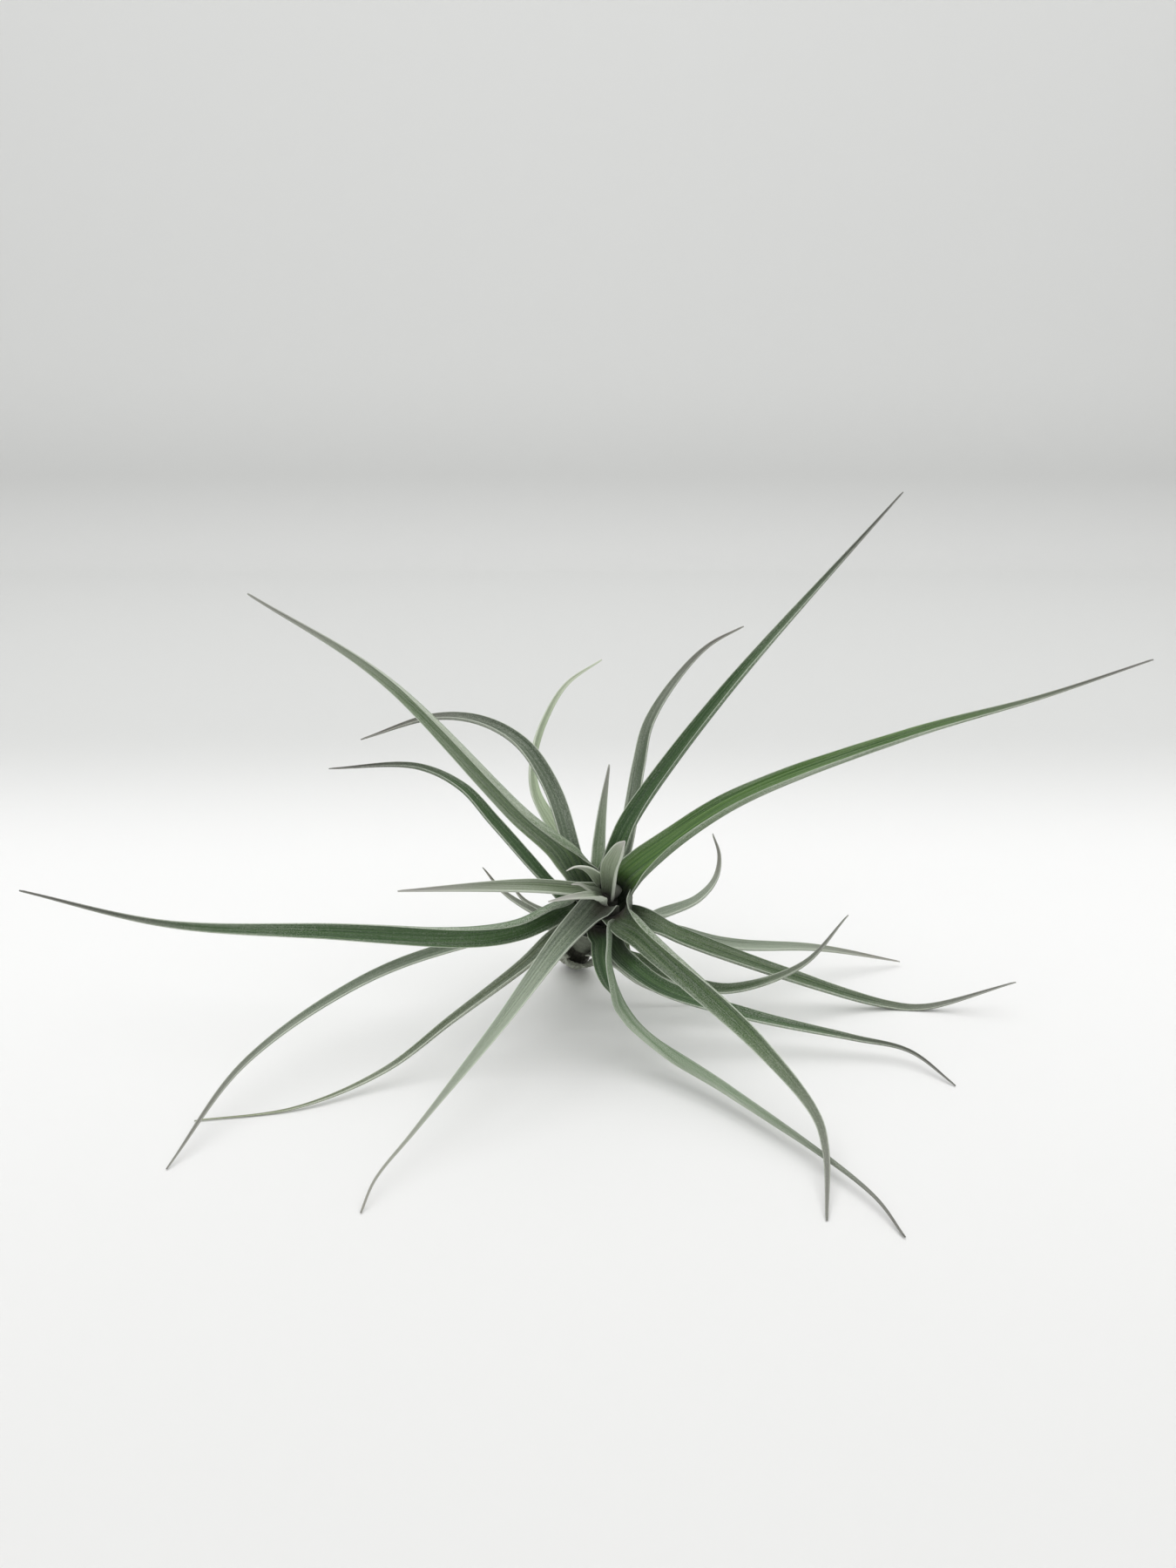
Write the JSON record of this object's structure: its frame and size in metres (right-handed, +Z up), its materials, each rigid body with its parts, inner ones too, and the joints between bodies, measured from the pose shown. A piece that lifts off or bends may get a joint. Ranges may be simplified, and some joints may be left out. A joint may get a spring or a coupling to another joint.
{
  "type": "air plant",
  "caption": "Rosette of slender, channelled, tapering leaves spreading from a short leaning stem; it rests on the stem's foot and the tips of its lower leaves.",
  "frame": {"origin": "the flat spot under the stem's foot, on the surface the plant rests on", "axes": "+X to the right along the longest spread of leaves, +Y away from the side the crown faces, +Z up"},
  "size_m": [0.2408, 0.1266, 0.1102],
  "materials": {
    "leaf_green": "matte green with silvery scales",
    "leaf_bright": "satin bright green",
    "leaf_dark": "matte dark green",
    "leaf_silver": "matte silvery grey-green",
    "leaf_pale": "matte pale yellow-green",
    "leaf_olive": "matte olive green",
    "leaf_young": "matte silver-grey",
    "leaf_old": "matte grey-brown",
    "stem": "matte brown, woody",
    "dry_sheath": "matte grey, papery"
  },
  "bodies": {
    "root": {"stem": "stem", "leaf_crown_small_hooked": "leaf_young", "leaf_crown_small_bud": "leaf_young", "leaf_crown_young_upright": "leaf_young", "leaf_crown_young_arched": "leaf_young", "leaf_left_young": "leaf_young", "leaf_lower_left_broad": "leaf_silver", "leaf_lower_right_broad": "leaf_green", "leaf_right_bright_long": "leaf_bright", "leaf_upper_left_broad": "leaf_green", "leaf_upper_right_long": "leaf_dark", "leaf_left_long": "leaf_dark", "leaf_lower_middle_table": "leaf_dark", "leaf_right_low_long": "leaf_green", "leaf_upper_left_arched": "leaf_silver", "leaf_lower_left_table": "leaf_olive", "leaf_right_low_pale": "leaf_silver", "leaf_left_narrow_high": "leaf_dark", "leaf_lower_right_table": "leaf_dark", "leaf_top_right_curved": "leaf_silver", "leaf_lower_left_back": "leaf_silver", "leaf_right_low_curled": "leaf_green", "leaf_top_short": "leaf_green", "leaf_top_pale_twisted": "leaf_pale", "leaf_back_right_curled": "leaf_silver", "leaf_underneath_old": "leaf_old", "leaf_back_left_old": "leaf_old", "leaf_back_left_small_old": "leaf_old", "dry_sheath_left": "dry_sheath", "dry_sheath_under": "dry_sheath", "dry_sheath_right": "dry_sheath"}
  },
  "joints": []
}
